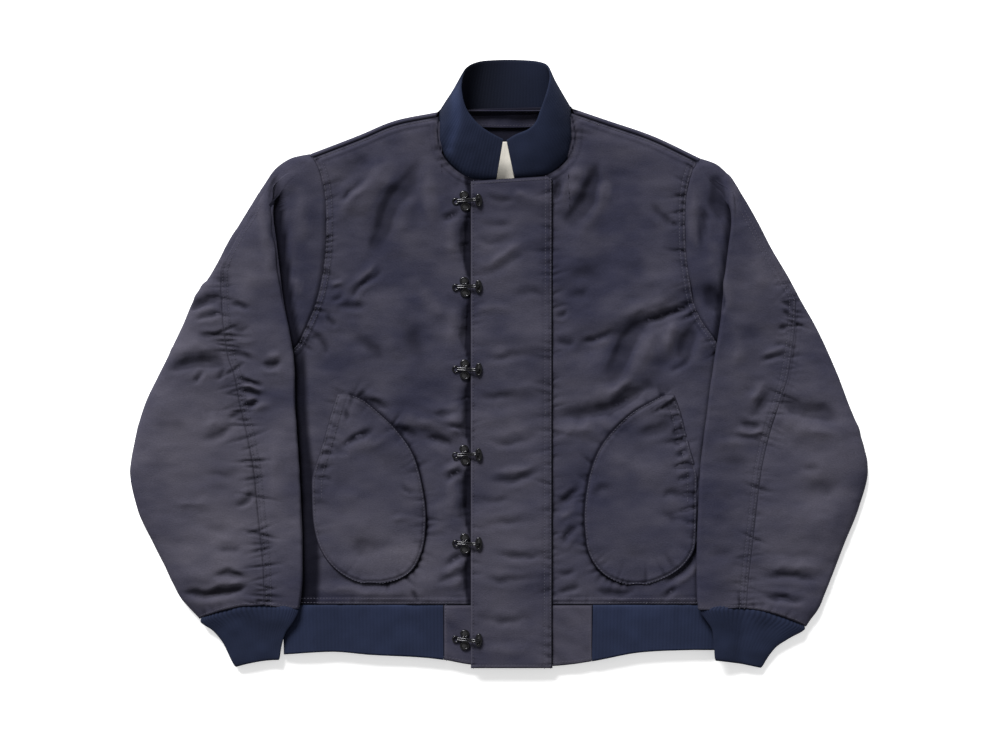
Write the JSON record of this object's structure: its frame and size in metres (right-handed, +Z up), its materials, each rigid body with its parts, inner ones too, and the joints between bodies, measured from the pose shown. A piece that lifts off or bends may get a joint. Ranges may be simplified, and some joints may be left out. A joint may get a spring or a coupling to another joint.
{
  "type": "deck jacket",
  "caption": "Cloth deck jacket laid flat on its back, with ribbed collar, cuffs and waistband, a hooked placket and two rounded patch pockets.",
  "frame": {"origin": "centre of the jacket's box at the height of the surface it lies on", "axes": "+Z up off the surface, +Y from the hem to the collar, +X to the wearer's left"},
  "size_m": [0.8514, 0.6996, 0.0414],
  "materials": {
    "shell": "matt",
    "knit": "matt",
    "hooks": "satin",
    "label": "satin"
  },
  "bodies": {
    "root": {"back": "shell", "front_right": "shell", "front_left": "shell", "sleeve_right_front": "shell", "sleeve_right_back": "shell", "sleeve_left_front": "shell", "sleeve_left_back": "shell", "placket": "shell", "hem_tab_right": "shell", "hem_tab_left": "shell", "pocket_right": "shell", "pocket_left": "shell", "neck_facing": "shell", "collar": "knit", "cuff_right": "knit", "cuff_left": "knit", "hem_rib": "knit", "label": "label", "hook_1": "hooks", "hook_2": "hooks", "hook_3": "hooks", "hook_4": "hooks", "hook_5": "hooks", "hook_6": "hooks", "eye_1": "hooks", "eye_2": "hooks", "eye_3": "hooks", "eye_4": "hooks", "eye_5": "hooks", "eye_6": "hooks"}
  },
  "joints": []
}
